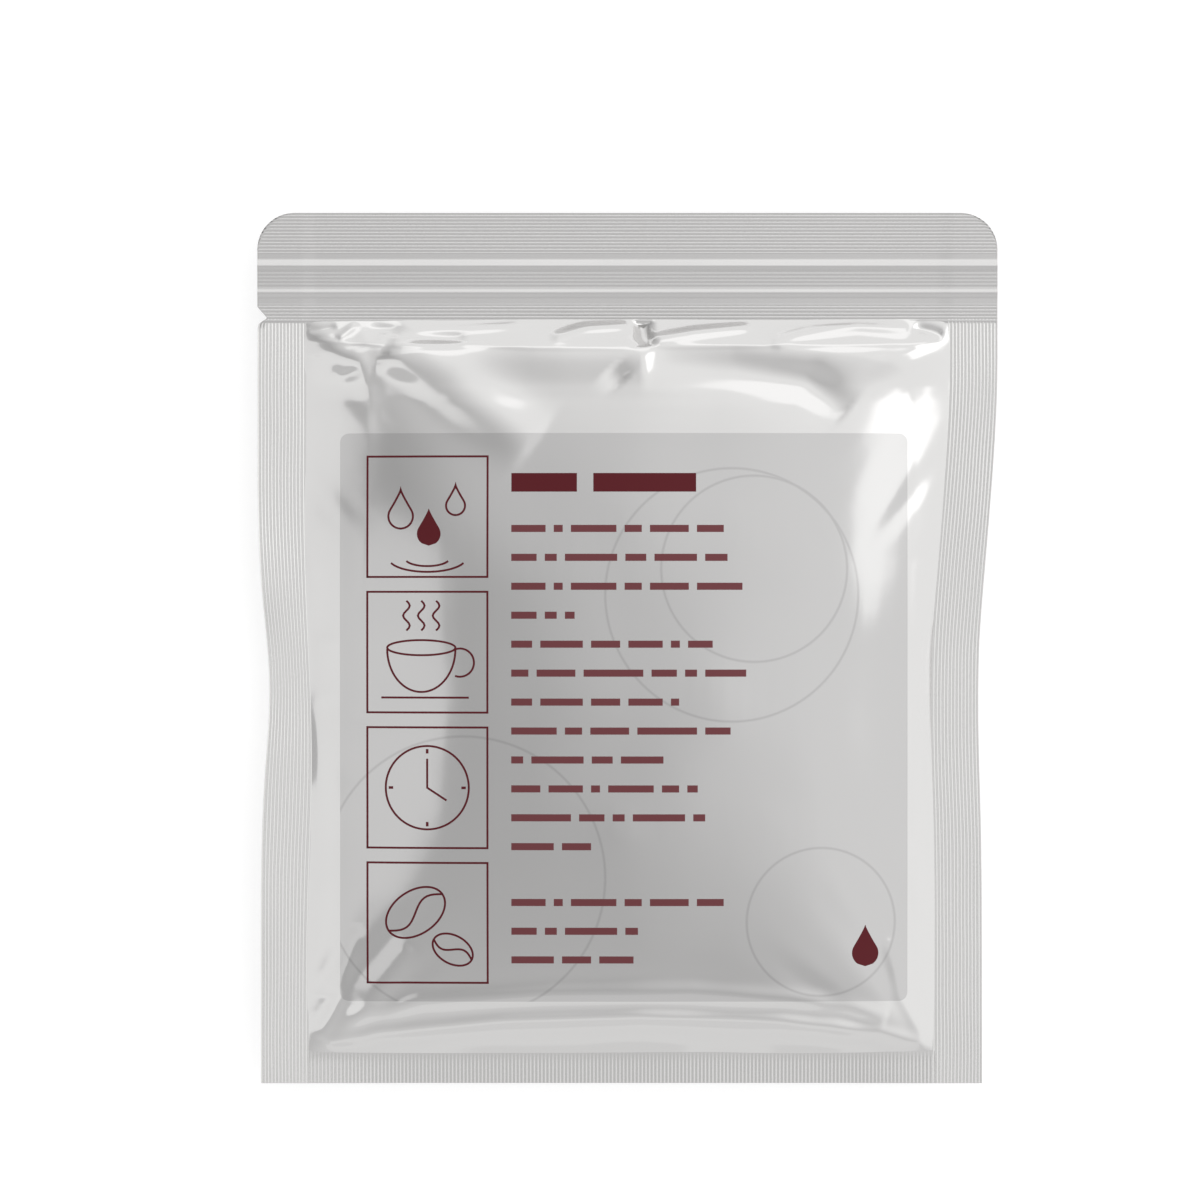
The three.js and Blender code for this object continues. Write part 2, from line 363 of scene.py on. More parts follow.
def make_printed_film(colour, tint, ring_tint):
    """Pearl film with the tinted panel and the faint rings on its upper face."""
    material, place = film_material(
        "pearl_film", colour,
        metallic=0.75, roughness=0.13, drift=0.04, crinkle_size=6.0, crinkle_height=0.012,
    )
    tree = material.node_tree
    height = put(tree, "ShaderNodeSeparateXYZ")
    upper = put(tree, "ShaderNodeMath", operation="GREATER_THAN", in_1=0.0)
    panel = placed_group(
        tree, PANEL, place, middle=(*PANEL_MIDDLE, 0), half_width=PANEL_WIDTH / 2, corner=PANEL_CORNER,
    )
    printed = put(tree, "ShaderNodeMath", operation="MULTIPLY")
    link(tree, [
        (place, height.inputs[0]),
        (height.outputs["Z"], upper.inputs[0]),
        (upper.outputs[0], printed.inputs[0]),
        (panel.outputs["Inside"], printed.inputs[1]),
    ])
    rings = [
        placed_group(tree, RING, place, middle=(*middle, 0), radius=radius, line=RING_LINE)
        for middle, radius in RINGS
    ]
    lines = rings[0].outputs["Line"]
    for ring in rings[1:]:
        joined = put(tree, "ShaderNodeMath", operation="MAXIMUM")
        link(tree, [(lines, joined.inputs[0]), (ring.outputs["Line"], joined.inputs[1])])
        lines = joined.outputs[0]
    inked = put(tree, "ShaderNodeMath", operation="MULTIPLY")
    link(tree, [(lines, inked.inputs[0]), (printed.outputs[0], inked.inputs[1])])
    panel_mix = put(tree, "ShaderNodeMix", data_type="RGBA")
    panel_mix.inputs["A"].default_value = (*colour, 1)
    panel_mix.inputs["B"].default_value = (*tint, 1)
    ring_mix = put(tree, "ShaderNodeMix", data_type="RGBA")
    ring_mix.inputs["B"].default_value = (*ring_tint, 1)
    link(tree, [
        (printed.outputs[0], panel_mix.inputs["Factor"]),
        (panel_mix.outputs["Result"], ring_mix.inputs["A"]),
        (inked.outputs[0], ring_mix.inputs["Factor"]),
        (ring_mix.outputs["Result"], tree.nodes["Principled BSDF"].inputs["Base Color"]),
    ])
    return material


def make_crimped_film(name, colour):
    """Film whose ribs are in the mesh, so it has no crinkle of its own."""
    material, place = film_material(
        name, colour, metallic=0.75, roughness=0.24, drift=0.1, crinkle_size=8.0, crinkle_height=0.0,
    )
    return material


def make_ink(name, colour):
    """Flat ink, duller than the film that it lies on."""
    material, place = film_material(
        name, colour, metallic=0.2, roughness=0.3, drift=0.08, crinkle_size=2.0, crinkle_height=0.01,
    )
    material.node_tree.nodes["Principled BSDF"].inputs["Specular IOR Level"].default_value = 0.2
    return material


PEARL, PANEL_TINT, RING_TINT = (0.72, 0.713, 0.707), (0.57, 0.565, 0.561), (0.47, 0.465, 0.462)
pearl_film = make_printed_film(PEARL, PANEL_TINT, RING_TINT)
crimped_film = make_crimped_film("crimped_film", (0.69, 0.684, 0.676))
head_film = make_crimped_film("head_film", (0.63, 0.624, 0.618))
maroon_ink = make_ink("maroon_ink", (0.105, 0.01, 0.015))
soft_maroon_ink = make_ink("soft_maroon_ink", (0.17, 0.05, 0.056))


# Head

# How far each face of the head stands out, by depth below the top edge: up the upper bead, down to the
# closure, across its grooves, up the lower bead and down again
CLOSURE_PROFILE = [(6.2, 0.0), (7.2, 0.4), (7.75, 0.2), (10.2, 0.12), (10.8, 0.32), (11.5, 0.0)]
BEAD_EASE = 0.4  # how much the beads' flanks are eased, from 0, straight, to 1
RIB_ROWS = 6  # rows of points to a rib or a groove
STRIP_STEP, SEAM_STEP = 0.08, 0.1  # from row to row in the plain bands
HEAD_COLUMNS = 90
HEAD_SWAY, HEAD_SWAY_SCALE = 0.1, 30
SIDE_STEP = 0.05  # how much higher the head lies over the side seals


def closure_rise(down):
    """How far each face of the head stands out at a depth below the top edge, without the crimps."""
    rise = 0.0
    for (start, low), (end, high) in zip(CLOSURE_PROFILE, CLOSURE_PROFILE[1:]):
        if start <= down < end:
            share = (down - start) / (end - start)
            rise = mix(low, high, smooth(0, 1, share) * BEAD_EASE + share * (1 - BEAD_EASE))
    grooved_from, grooved_to = CLOSURE_PROFILE[2][0], CLOSURE_PROFILE[3][0]
    into = down - grooved_from
    width = grooved_to - grooved_from
    if 0 < into < width:
        rise -= GROOVE_DEPTH * (0.5 - 0.5 * math.cos(2 * math.pi * GROOVES * into / width))
    return rise


def crimp(at, width, pitch):
    """Height of the crimp's wave at a distance into a crimped band, 0 outside the band."""
    if not 0 <= at <= width:
        return 0.0
    ribs = round(width / pitch)
    return RIB_HEIGHT * (math.sqrt(abs(math.cos(math.pi * ribs * at / width))) - 0.5)


def notch_in(y):
    """Depth of the tear notch at a height above the foot."""
    above = y - (POUCH_HEIGHT - NOTCH_DROP)
    span = NOTCH_UP if above > 0 else NOTCH_DOWN
    return NOTCH_DEPTH * max(0.0, 1 - abs(above) / span)


def head_rows():
    """Heights of the head's rows of points. Each rib and each groove gets the same number."""
    bands = [
        (SEAM, SEAM_STEP),
        (LOWER_CRIMP, RIB_PITCH / RIB_ROWS),
        (LOWER_STRIP + LOWER_BEAD, STRIP_STEP),
        (CLOSURE, CLOSURE / GROOVES / RIB_ROWS),
        (UPPER_BEAD + UPPER_STRIP, STRIP_STEP),
        (TOP_CRIMP, RIB_PITCH / RIB_ROWS),
    ]
    rows = [HEAD_FOOT - SEAM]
    for height, step in bands:
        parts = RIB_ROWS * round(height / (RIB_ROWS * step)) or round(height / step)
        start = rows[-1]
        rows += [start + height / parts * (i + 1) for i in range(parts)]
    return rows


HEAD_ROWS = head_rows()


def head_place(u, v, side):
    """A point of the head. The columns crowd towards both ends, where the corners are round."""
    half = POUCH_WIDTH / 2
    y = HEAD_ROWS[round(v * (len(HEAD_ROWS) - 1))]
    off = u - 0.5
    x = mix(-half + notch_in(y), half, 0.5 + off * (1.5 - 2 * off * off))
    past = max(0.0, abs(x) - (half - CORNER_RADIUS))
    drop = CORNER_RADIUS - math.sqrt(max(0.0, CORNER_RADIUS ** 2 - past ** 2))
    down = POUCH_HEIGHT - y
    wave = crimp(down, TOP_CRIMP, RIB_PITCH)
    wave += crimp(down - (HEAD - LOWER_CRIMP), LOWER_CRIMP, RIB_PITCH)
    side_seal_from = half - SIDE_SEAL
    sway = HEAD_SWAY * ripple(x, y, HEAD_SWAY_SCALE, 4.2)
    sway += SIDE_STEP * smooth(side_seal_from - 0.3, side_seal_from + 0.1, abs(x))
    height = side * (FILM + closure_rise(down)) + wave + sway
    return Vector((x, min(y, POUCH_HEIGHT - drop), height))


def make_head():
    rows = len(HEAD_ROWS) - 1
    shell = film_shell(
        HEAD_COLUMNS, rows,
        lambda u, v: head_place(u, v, 1),
        lambda u, v: head_place(u, v, -1),
    )
    return finish_piece("head_closure", shell, head_film)


# Seals

SIDE_RIBS = round(SIDE_SEAL / RIB_PITCH)
RIB_COLUMNS, SIDE_ROWS = 6, 150
FOOT_SPAN = right_seam(0) - left_seam(0)
FOOT_RIBS = round(FOOT_SPAN / FOOT_RIB_PITCH)
FOOT_RIB_COLUMNS, FOOT_ROWS = 5, 10
RIB_WANDER, WANDER_SCALE = 0.1, 9
SIDE_SWAY, SIDE_SWAY_SCALE = 0.3, 16
FOOT_SWAY, FOOT_SWAY_SCALE = 0.12, 18


def side_place(u, v, side, edge_at, seam_at, seed):
    """A point of a side seal. The ribs wander a little, and the outer edge sways, though not at the head."""
    y = mix(0.0, HEAD_FOOT + SEAM, v)
    left = edge_at(0) < 0
    width = abs(seam_at(y) - edge_at(y))
    into = u * SIDE_SEAL if left else (1 - u) * SIDE_SEAL
    wander = RIB_WANDER * ripple(into, y, WANDER_SCALE, seed)
    wander *= smooth(0, 1.5, into)
    wander *= smooth(0, 1.5, SIDE_SEAL - into)
    notch = notch_in(y) * smooth(1.4, 0, into) if left else 0.0
    x = edge_at(y) + (1 if left else -1) * ((into + wander) * width / SIDE_SEAL + notch)
    lean = -LEAN * smooth(0, 1, SIDE_SEAL - width) * (1 - into / SIDE_SEAL)
    wave = RIB_HEIGHT / 2 * math.cos(2 * math.pi * SIDE_RIBS * into / SIDE_SEAL)
    sway = SIDE_SWAY * ripple(into * 0.4, y, SIDE_SWAY_SCALE, seed + 7)
    sway *= smooth(HEAD_FOOT, HEAD_FOOT - 12, y)
    sway *= smooth(SIDE_SEAL, 0, into)
    return Vector((x, y, side * FILM + wave + sway + lean))


def make_side_seal(name, edge_at, seam_at, seed):
    shell = film_shell(
        SIDE_RIBS * RIB_COLUMNS, SIDE_ROWS,
        lambda u, v: side_place(u, v, 1, edge_at, seam_at, seed),
        lambda u, v: side_place(u, v, -1, edge_at, seam_at, seed),
    )
    return finish_piece(name, shell, crimped_film)


def foot_place(u, v, side):
    """A point of the foot seal. The ribs fade towards the puffed film, and the edge hangs down midway."""
    y = v * FOOT_SEAL
    x = mix(left_seam(y) - SEAM, right_seam(y) + SEAM, u)
    fade = smooth(0, 1.8, FOOT_SEAL - y)
    wave = FOOT_RIB_HEIGHT / 2 * math.cos(2 * math.pi * FOOT_RIBS * u) * fade
    from_side = min(x - left_seam(y), right_seam(y) - x)
    droop = FOOT_DROOP * (1 - v) * smooth(0, 14, from_side)
    sway = FOOT_SWAY * ripple(x, y, FOOT_SWAY_SCALE, 3.1) - droop
    return Vector((x, y, side * FILM + wave + sway))


def make_foot_seal():
    shell = film_shell(
        FOOT_RIBS * FOOT_RIB_COLUMNS, FOOT_ROWS,
        lambda u, v: foot_place(u, v, 1),
        lambda u, v: foot_place(u, v, -1),
    )
    return finish_piece("foot_seal", shell, crimped_film)


# Puffed film

COLUMNS, ROWS = 78, 90  # cells of the simulated film
SIM = 0.01  # simulation units to a millimetre
PRESSURE = 6.0
START_HEIGHT, START_UNEVEN = 6, 0.6  # the dome that the simulation starts from
FOOT_SLACK, HEAD_SLACK, LONG_SLACK = 1.0, 0.9, 0.6  # how much longer the flat film is than the outline
SPARE = 0.006  # how much wider it is near the head and the foot, as a share
CREASE_DROP = 3.4  # from the head to the crease below it
STEEPER, FLATTER = 0.75, 0.6  # how far the film is lifted above the crease and lowered below it


def film_outline(u, v):
    """Where a point of the puffed film lies in the outline, before it is puffed."""
    y = mix(FOOT_SEAL - SEAT, HEAD_FOOT + SEAT, v)
    left = left_seam(y) - SEAT
    right = right_seam(y) + SEAT
    return mix(left, right, u), y


def flat_film(u, v):
    """Where the same point lay while the film was still flat. The filling draws it in from there."""
    half = POUCH_WIDTH / 2 - SIDE_SEAL + SEAT
    y = mix(FOOT_SEAL - SEAT, HEAD_FOOT + SEAT, v)
    slack = FOOT_SLACK * smooth(0.0, 0.14, v) + HEAD_SLACK * smooth(0.93, 1.0, v) + LONG_SLACK * v
    spare = 1 + SPARE * smooth(0.88, 0.98, v) + SPARE * smooth(0.12, 0.03, v)
    return mix(-half, half, u) * spare, y + slack


def puff(seed, frames):
    """Blows up one face of film by cloth simulation. Gives its points as rows of columns, in millimetres."""
    sheet = bmesh.new()
    bmesh.ops.create_grid(sheet, x_segments=COLUMNS, y_segments=ROWS, size=0.5)
    shares = [(vert.co.x + 0.5, vert.co.y + 0.5) for vert in sheet.verts]
    for vert, (u, v) in zip(sheet.verts, shares):
        x, y = film_outline(u, v)
        dome = math.sqrt(max(0.0, 16 * u * (1 - u) * v * (1 - v)))
        vert.co = Vector((x, y, dome * (START_HEIGHT + START_UNEVEN * ripple(x, y, 12, seed)))) * SIM
    mesh = bpy.data.meshes.new("puffing")
    sheet.to_mesh(mesh)
    sheet.free()
    puffing = bpy.data.objects.new("puffing", mesh)
    bpy.context.scene.collection.objects.link(puffing)
    puffing.shape_key_add(name="start")
    flat = puffing.shape_key_add(name="flat")
    flat.data.foreach_set("co", [c * SIM for u, v in shares for c in (*flat_film(u, v), 0.0)])
    rim = puffing.vertex_groups.new(name="rim")
    rim.add([i for i, (u, v) in enumerate(shares) if min(u, v, 1 - u, 1 - v) < 1e-4], 1.0, "REPLACE")
    cloth = puffing.modifiers.new("film", "CLOTH")
    film = cloth.settings
    film.rest_shape_key = flat
    film.quality = 6
    film.mass = 0.15
    film.tension_stiffness = film.compression_stiffness = 60
    film.shear_stiffness = 30
    film.bending_stiffness = 1
    film.tension_damping = film.compression_damping = 10
    film.bending_damping = 1
    film.air_damping = 2
    film.use_pressure = True
    film.uniform_pressure_force = PRESSURE
    film.vertex_group_mass = "rim"
    film.effector_weights.gravity = 0
    cloth.collision_settings.use_collision = False
    cloth.point_cache.frame_end = frames
    scene = bpy.context.scene
    for step in range(1, frames + 1):
        scene.frame_set(step)
    ready = puffing.evaluated_get(bpy.context.evaluated_depsgraph_get())
    places = np.empty(len(shares) * 3)
    ready.data.vertices.foreach_get("co", places)
    places = places.reshape(-1, 3) / SIM
    scene.frame_set(1)
    bpy.data.objects.remove(puffing)
    bpy.data.meshes.remove(mesh)
    points = np.empty((ROWS + 1, COLUMNS + 1, 3))
    for (u, v), place in zip(shares, places):
        points[round(v * ROWS), round(u * COLUMNS)] = place
    return points


def shares_of(spans):
    """Shares from 0 to 1 whose spacing changes. spans holds (length, step) pairs in millimetres."""
    total = sum(length for length, step in spans)
    marks, at = [0.0], 0.0
    for length, step in spans:
        parts = round(length / step)
        marks += [(at + length * (i + 1) / parts) / total for i in range(parts)]
        at += length
    return np.clip(marks, 0, 1)


def sample_rows(points, shares):
    """Smoothly samples a grid of points along its first axis."""
    last = len(points) - 1
    at = np.clip(shares * last, 0, last - 1e-9)
    low = np.floor(at).astype(int)
    t = (at - low)[:, None, None]
    before, start, end, after = (points[np.clip(low + step, 0, last)] for step in (-1, 0, 1, 2))
    return 0.5 * (2 * start + (end - before) * t + (2 * before - 5 * start + 4 * end - after) * t ** 2
                  + (3 * start - before - 3 * end + after) * t ** 3)


def eased(points, passes=2):
    """Smooths away what is finer than the simulation's cells, and keeps the rim."""
    for _ in range(passes):
        middle = points[1:-1, 1:-1]
        around = points[:-2, 1:-1] + points[2:, 1:-1] + points[1:-1, :-2] + points[1:-1, 2:]
        points[1:-1, 1:-1] = 0.5 * middle + 0.125 * around
    return points


def resample(points, across, along):
    rows = sample_rows(eased(points), along)
    return np.moveaxis(sample_rows(np.moveaxis(rows, 0, 1), across), 0, 1)


# Folds of the printed face: points (x, y) along each, half width and height
FOLDS = [
    ("crease below the head, left",
     [(-43.2, 100.4), (-36.0, 100.0), (-30.7, 99.6), (-22.0, 99.8), (-13.0, 99.3), (1.0, 99.2)], 0.35, 0.09),
    ("crease below the head, right", [(3.4, 99.4), (16.5, 99.6), (30.8, 99.8), (42.2, 99.9)], 0.35, 0.09),
    ("pinch", [(2.0, 103.2), (2.1, 101.8), (2.4, 99.4)], 1.0, -1.1),
    ("streak into the pinch, left", [(-10.2, 100.6), (-5.5, 102.0), (0.6, 102.4)], 0.8, 0.4),
    ("streak out of the pinch, right", [(3.4, 100.4), (9.0, 101.4), (17.2, 102.2)], 0.8, 0.42),
    ("right wedge", [(19.5, 99.9), (23.0, 101.2), (31.0, 102.4), (38.0, 102.0)], 1.0, 0.42),
    ("right corner dent", [(38.8, 102.2), (42.6, 101.2)], 0.9, -0.5),
    ("long dent, left", [(-35.0, 102.0), (-29.0, 101.0), (-22.0, 100.5)], 0.9, -0.4),
    ("long rise, left", [(-34.0, 100.9), (-25.0, 101.6), (-14.0, 102.4)], 0.8, 0.28),
    ("left corner crumple, inner", [(-39.0, 100.6), (-36.5, 102.6)], 0.5, 0.25),
    ("left corner crumple, outer", [(-43.0, 101.6), (-39.5, 102.3)], 0.5, -0.25),
    ("left shoulder", [(-32.5, 99.0), (-24.0, 94.6), (-12.5, 86.5)], 3.6, 0.75),
    ("right trough", [(2.6, 97.6), (13.9, 96.9), (24.0, 94.9), (29.5, 90.5)], 2.6, -0.85),
    ("dent below the pinch", [(-2.4, 96.4), (-0.6, 94.6)], 1.8, -0.3),
    ("tick", [(-39.5, 96.6), (-38.6, 95.6), (-36.4, 96.4)], 0.4, -0.06),
    ("left facet, upper", [(-42.0, 98.4), (-41.4, 90.0), (-41.2, 76.0), (-40.4, 60.0)], 1.5, -0.22),
    ("left facet edge",
     [(-36.2, 99.4), (-35.2, 92.0), (-36.0, 80.0), (-36.8, 66.0), (-35.4, 50.0)], 1.5, 0.3),
    ("left facet, lower", [(-40.6, 52.0), (-39.2, 38.0), (-39.4, 22.0), (-40.8, 12.0)], 1.5, -0.3),
    ("right ridge", [(39.2, 70.7), (38.8, 43.7), (39.5, 14.0)], 0.8, 0.25),
    ("foot ridge, lower",
     [(-41.5, 5.2), (-33.4, 7.0), (-17.2, 8.6), (1.7, 9.2), (20.6, 8.6), (34.1, 7.0), (40.5, 5.2)], 0.9, 0.4),
    ("foot ridge, upper",
     [(-38.0, 8.4), (-27.7, 11.2), (-10.5, 12.4), (8.4, 12.6), (25.3, 11.4), (35.0, 9.0)], 1.2, 0.4),
    ("foot corner fold, left", [(-41.6, 6.0), (-38.8, 11.6), (-36.6, 21.0)], 1.0, 0.3),
    ("foot corner fold, inner left", [(-40.4, 5.2), (-34.6, 10.6), (-29.4, 19.0)], 1.6, 0.35),
    ("foot corner fold, right", [(40.4, 6.0), (37.0, 12.0), (35.2, 20.0)], 1.0, 0.25),
]
SLOW_HEIGHT, SLOW_SCALE = 0.14, 13  # the slow unevenness between the folds


def soft_step(start, end, values):
    t = np.clip((values - start) / (end - start), 0, 1)
    return t * t * (3 - 2 * t)


def fold_height(x, y, points, half_width, height):
    """Height that one fold adds at each point, with both of its ends running out."""
    best = np.full(x.shape, 1e9)
    along = np.zeros(x.shape)
    lengths = [math.dist(a, b) for a, b in zip(points, points[1:])]
    done = 0.0
    for (ax, ay), (bx, by), length in zip(points, points[1:], lengths):
        t = np.clip(((x - ax) * (bx - ax) + (y - ay) * (by - ay)) / length ** 2, 0, 1)
        away = np.hypot(x - ax - t * (bx - ax), y - ay - t * (by - ay))
        nearer = away < best
        best = np.where(nearer, away, best)
        along = np.where(nearer, (done + t * length) / sum(lengths), along)
        done += length
    fade = np.sqrt(np.clip(1 - (2 * along - 1) ** 4, 0, 1))
    return height * fade * np.exp(-(best / half_width) ** 2)


def with_shoulder(face):
    """Makes the film rise steeply from the head to the crease, and lie flatter below it."""
    x, y, height = face[..., 0], face[..., 1], face[..., 2]
    down = HEAD_FOOT - y
    full = np.clip(height / 2.2, 0, 1)
    steep = soft_step(0, CREASE_DROP, down) * (1 - soft_step(CREASE_DROP, 9, down))
    flat = soft_step(4, 11, down) * (1 - soft_step(14, 36, down))
    return np.dstack([x, y, height + full * (STEEPER * steep - FLATTER * flat)])


def with_folds(face):
    """Adds the folds and a slow unevenness to the printed face, all fading towards the seals."""
    x, y, height = face[..., 0], face[..., 1], face[..., 2]
    away = np.clip(height / 0.6, 0, 1)
    for _, points, half_width, rise in FOLDS:
        height = height + away * fold_height(x, y, points, half_width, rise)
    slow = [SLOW_HEIGHT * ripple(a, b, SLOW_SCALE, 5.5) for a, b in zip(x.ravel(), y.ravel())]
    return np.dstack([x, y, height + away * np.array(slow).reshape(x.shape)])


def make_pillow():
    """The puffed film and a tree of its faces, for the print to lie on."""
    # finer steps near the seals, and the finest below the head
    across = shares_of([(9, 0.35), (68.6, 0.62), (9, 0.35)])
    along = shares_of([(12, 0.3), (75, 0.6), (6.4, 0.3), (6, 0.17)])
    front = resample(puff(seed=2.7, frames=40), across, along)
    back = resample(puff(seed=8.3, frames=30), across, along)
    front[..., 2] *= CROWN / front[..., 2].max()
    front = with_folds(with_shoulder(front))
    back[..., 2] = -np.minimum(back[..., 2], BELLY)
    columns, rows = len(across) - 1, len(along) - 1

    def upper(u, v):
        return Vector(front[round(v * rows), round(u * columns)])

    def lower(u, v):
        return Vector(back[round(v * rows), round(u * columns)])

    shell = film_shell(columns, rows, upper, lower)
    tree = BVHTree.FromBMesh(shell)
    return finish_piece("puffed_film", shell, pearl_film), tree


# Print

LINE = 0.27
INK_LIFT, INK_DEPTH = 0.02, 0.05  # the ink's upper face over the film, its lower face in it
BAR_STEP, LINE_STEP, WAVE_STEP = 0.45, 0.4, 0.35
BAR_HEIGHT, BAR_GAP, TITLE_HEIGHT = 0.95, 1.1, 2.5
TITLE_BARS = [(0.0, 8.8), (11.0, 13.8)]  # start and width of each
MARK_X, MARK_Y, MARK_HEIGHT = 32.0, 18.8, 5.6
FRAME_WIDTH, FRAME_PITCH = 16.2, 18.2
FRAME_X, TOP_FRAME_Y = -26.9, 76.5
TEXT_X, TITLE_Y, TEXT_Y, TEXT_PITCH, NOTE_Y = -15.6, 81.1, 74.9, 3.88, 24.7
TEXT_WIDTHS = [28.5, 29.0, 31.0, 8.5, 27.0, 31.5, 22.5, 31.5, 20.5, 25.0, 26.0, 12.0]
NOTE_WIDTHS = [28.5, 17.0, 18.5]
WORDS = [4.6, 1.2, 6.1, 2.3, 5.2, 8.0, 3.4, 1.6, 7.0, 2.8, 5.7, 3.9]


class Print:
    """Thin ink that lies on the puffed film, built from strokes, bars and filled shapes."""

    def __init__(self, film_tree):
        self.film_tree = film_tree
        self.shell = bmesh.new()

    def on_film(self, x, y, lift):
        hit = self.film_tree.ray_cast(Vector((x, y, 40)), Vector((0, 0, -1)))[0]
        return Vector((x, y, hit.z + lift))

    def patch(self, columns, rows, flat):
        """flat gives x and y from the shares u and v."""
        film_shell(
            columns, rows,
            lambda u, v: self.on_film(*flat(u, v), INK_LIFT),
            lambda u, v: self.on_film(*flat(u, v), -INK_DEPTH),
            self.shell,
        )

    def bar(self, x, y, width, height):
        columns, rows = max(2, round(width / BAR_STEP)), max(1, round(height / BAR_STEP))
        self.patch(columns, rows, lambda u, v: (x + width * u, y + height * (v - 0.5)))

    def stroke(self, points, width=LINE, closed=False):
        """A line of even width through points, mitred at its corners."""
        count = len(points)
        sides = []
        for i, (x, y) in enumerate(points):
            before = points[i - 1] if i or closed else None
            after = points[(i + 1) % count] if i < count - 1 or closed else None
            turns = []
            for (ax, ay), (bx, by) in [p for p in ((before, (x, y)), ((x, y), after)) if None not in p]:
                length = math.hypot(bx - ax, by - ay)
                turns.append(Vector((ay - by, bx - ax)) / length)
            side = turns[0] + turns[-1]
            sides.append(side / (0.5 * side.length_squared))
        last = count if closed else count - 1

        def flat(u, v):
            i = round(u * last) % count
            off = width * (0.5 - v)
            return points[i][0] + sides[i].x * off, points[i][1] + sides[i].y * off

        self.patch(last, 1, flat)

    def blade(self, x, y, length, half_width_at):
        """A filled upright shape, half_width_at giving its half width at each share of its length."""
        self.patch(6, 16, lambda u, v: (x + (2 * u - 1) * half_width_at(v), y + (v - 0.5) * length))

    def finish(self, name, material):
        return finish_piece(name, self.shell, material)


def even(points):
    """The same line with points close enough to follow the film."""
    line = []
    for (ax, ay), (bx, by) in zip(points, points[1:]):
        parts = max(1, math.ceil(math.dist((ax, ay), (bx, by)) / LINE_STEP))
        line += [(mix(ax, bx, i / parts), mix(ay, by, i / parts)) for i in range(parts)]
    return line + [points[-1]]


def arc(x, y, radius, start=0, end=360, squash=1.0, turn=0.0):
    """Points along an arc, angles in degrees. A full turn leaves out its last point."""
    parts = max(8, math.ceil(math.radians(abs(end - start)) * radius / LINE_STEP))
    full = abs(end - start) == 360
    c, s = math.cos(turn), math.sin(turn)
    line = []
    for i in range(parts if full else parts + 1):
        angle = math.radians(mix(start, end, i / parts))
        px, py = radius * math.cos(angle), radius * squash * math.sin(angle)
        line.append((x + px * c - py * s, y + px * s + py * c))
    return line


def wave(x, y, height, sway, turns=1.5):
    """Points along an upright wave, from its foot up."""
    parts = math.ceil(height / WAVE_STEP)
    shares = [i / parts for i in range(parts + 1)]
    return [(x + sway * math.sin(2 * math.pi * turns * share), y + height * share) for share in shares]


def drop_half_width(height, v):
    """Half width of a drop at a share of its height: a circle up to its shoulder, then drawn to a point."""
    radius, shoulder, shoulder_half = 0.32, 0.47, 0.283
    if v > shoulder:
        return shoulder_half * height * ((1 - v) / (1 - shoulder)) ** 1.15
    return height * math.sqrt(max(0.0, radius ** 2 - (v - radius) ** 2))


def drop(x, y, height):
    """The outline of a drop around its middle."""
    shares = [0.5 - 0.5 * math.cos(math.pi * i / 20) for i in range(21)]
    right = [(x + drop_half_width(height, v), y + (v - 0.5) * height) for v in shares]
    left = [(x - drop_half_width(height, v), y + (v - 0.5) * height) for v in shares[-2:0:-1]]
    return right + left


def draw_beans(ink, x, y):
    for dx, dy, size, turn in ((-1.6, 1.4, 4.4, 0.6), (3.4, -3.6, 2.9, -0.5)):
        ink.stroke(arc(x + dx, y + dy, size, squash=0.66, turn=turn), closed=True)
        seam = [(t, 0.22 * size * math.sin(t * math.pi)) for t in np.linspace(-1, 1, 20)]
        c, s = math.cos(turn), math.sin(turn)
        ink.stroke([(x + dx + size * t * c - b * s, y + dy + size * t * s + b * c) for t, b in seam])


def draw_drops(ink, x, y):
    ink.stroke(drop(x - 3.6, y + 1.0, 5.2), closed=True)
    ink.stroke(drop(x + 3.8, y + 2.2, 4.0), closed=True)
    ink.blade(x + 0.2, y - 1.4, 5.0, lambda v: drop_half_width(5.0, v))
    for radius in (3.0, 5.2):
        ink.stroke(arc(x, y - 5.6, radius, 200, 340, squash=0.35))


def draw_cup(ink, x, y):
    ink.stroke(arc(x - 0.8, y + 0.6, 4.6, squash=0.22), closed=True)
    ink.stroke(arc(x - 0.8, y + 0.4, 4.6, 180, 360, squash=1.25))
    ink.stroke(arc(x + 4.4, y - 1.4, 1.9, -110, 110))
    ink.stroke(even([(x - 6.2, y - 6.1), (x + 5.6, y - 6.1)]))
    for dx in (-2.8, -0.8, 1.2):
        ink.stroke(wave(x + dx, y + 2.9, 4.0, 0.45))


def draw_clock(ink, x, y):
    ink.stroke(arc(x, y, 5.6), closed=True)
    ink.stroke(even([(x, y + 3.9), (x, y), (x + 2.6, y - 1.7)]))
    for quarter in range(4):
        c, s = math.cos(quarter * math.pi / 2), math.sin(quarter * math.pi / 2)
        ink.stroke(even([(x + 4.6 * c, y + 4.6 * s), (x + 5.2 * c, y + 5.2 * s)]), width=0.35)


def draw_words(ink, y, width, first):
    """One line of plain bars, as long as words. Gives the next bar's number."""
    x, word = 0.0, first
    while width - x > 1.0:
        length = min(WORDS[word % len(WORDS)], width - x)
        ink.bar(TEXT_X + x, y, length, BAR_HEIGHT)
        x += length + BAR_GAP
        word += 1
    return word


